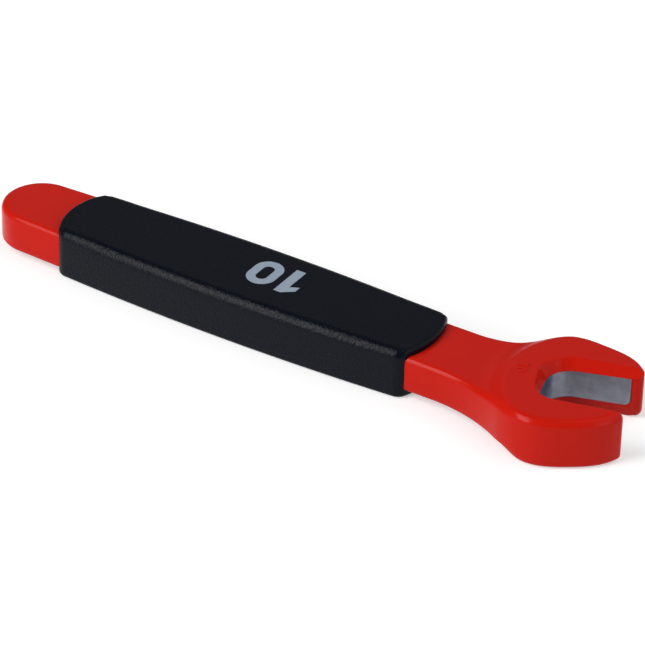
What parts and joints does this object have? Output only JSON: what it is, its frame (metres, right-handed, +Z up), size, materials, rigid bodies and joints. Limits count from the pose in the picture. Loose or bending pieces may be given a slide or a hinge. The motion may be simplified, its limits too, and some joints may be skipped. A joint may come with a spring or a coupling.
{
  "type": "insulated open-end spanner",
  "caption": "Flat insulated open-end spanner: an angled steel jaw in a red moulded jacket, with a black barrel-shaped grip sleeve, for turning nuts by hand near live parts.",
  "frame": {"origin": "on the tool's axis, at the middle of the sleeve's underside", "axes": "+X along the tool to the jaw, +Y to the side the jaw is turned to, +Z up from the flat side it lies on"},
  "size_m": [0.1151, 0.0248, 0.0085],
  "materials": {
    "steel": "satin",
    "insulation": "satin gloss",
    "grip": "fine matt"
  },
  "bodies": {
    "root": {"steel_core": "steel", "insulation_jacket": "insulation", "grip_sleeve": "grip"}
  },
  "joints": []
}
